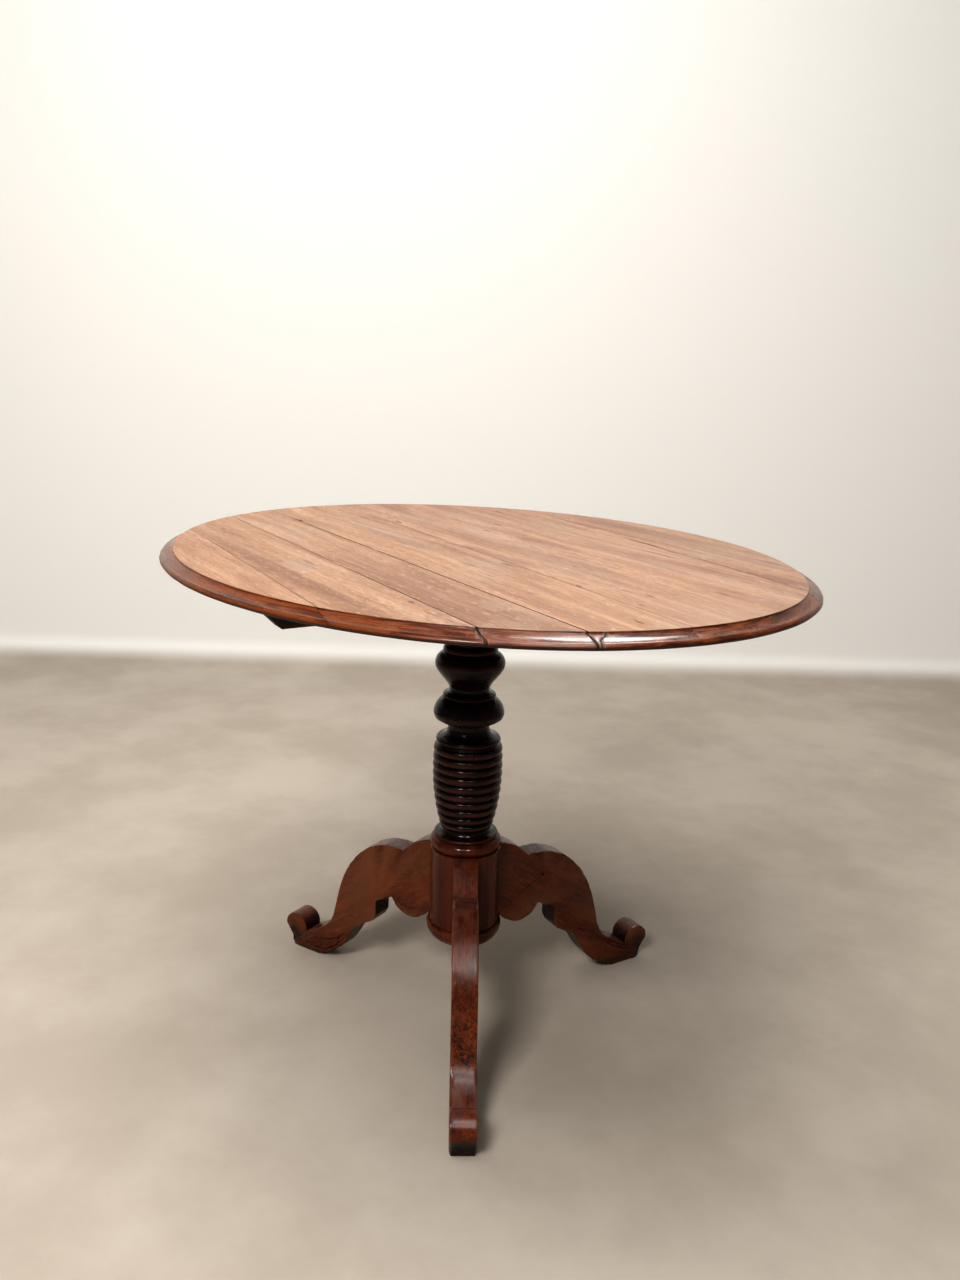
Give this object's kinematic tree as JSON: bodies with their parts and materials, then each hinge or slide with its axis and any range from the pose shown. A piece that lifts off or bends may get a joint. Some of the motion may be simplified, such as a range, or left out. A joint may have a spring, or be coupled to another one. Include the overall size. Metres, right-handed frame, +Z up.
{
  "type": "tilt top table",
  "caption": "Oval wooden table with a moulded edge on a turned column with scroll-footed sawn legs; the top tips up on a pinned block and is held by a sliding catch.",
  "frame": {"origin": "on the floor, on the turned column's axis", "axes": "+X along the boards of the top and the tilting axis, +Y along the bearers towards the leg that points that way, +Z up"},
  "size_m": [1.05, 0.854, 0.74],
  "materials": {
    "top_walnut": "old wax polish, faded, worn",
    "frame_wood": "unpolished, stained",
    "column_wood": "dark glossy polish",
    "leg_wood": "worn polish",
    "iron": "dull, lightly rusted",
    "brass": "tarnished"
  },
  "bodies": {
    "base": {"column": "column_wood", "base_cap": "column_wood", "pivot_block": "frame_wood", "tenon_wedge": "frame_wood", "strike_plate": "brass", "leg_front": "leg_wood", "leg_side": "leg_wood", "leg_back": "leg_wood", "pivot_pin_left": "iron", "pivot_pin_right": "iron", "strike_screw_1": "brass", "strike_screw_2": "brass", "cap_screw_1": "iron", "cap_screw_2": "iron", "cap_screw_3": "iron"},
    "top": {"top_board_1": "top_walnut", "top_board_2": "top_walnut", "top_board_3": "top_walnut", "top_board_4": "top_walnut", "top_board_5": "top_walnut", "top_board_6": "top_walnut", "bearer_left": "frame_wood", "bearer_right": "frame_wood", "catch_body": "brass", "bearer_screw_left_1": "iron", "bearer_screw_left_2": "iron", "bearer_screw_left_3": "iron", "bearer_screw_left_4": "iron", "bearer_screw_left_5": "iron", "bearer_screw_left_6": "iron", "bearer_screw_right_1": "iron", "bearer_screw_right_2": "iron", "bearer_screw_right_3": "iron", "bearer_screw_right_4": "iron", "bearer_screw_right_5": "iron", "bearer_screw_right_6": "iron", "catch_screw_1": "brass", "catch_screw_2": "brass", "catch_screw_3": "brass", "catch_screw_4": "brass"},
    "catch_bolt": {"catch_bolt": "brass", "catch_knob": "brass"}
  },
  "joints": [
    {"name": "top_tilt", "type": "hinge", "parent": "base", "child": "top", "pos_m": [0, -0.07, 0.6993], "axis": [1, 0, 0], "range_deg": [0, 90]},
    {"name": "bolt_slide", "type": "slide", "parent": "top", "child": "catch_bolt", "axis": [0, -1, 0], "range_m": [0, 0.016]}
  ]
}
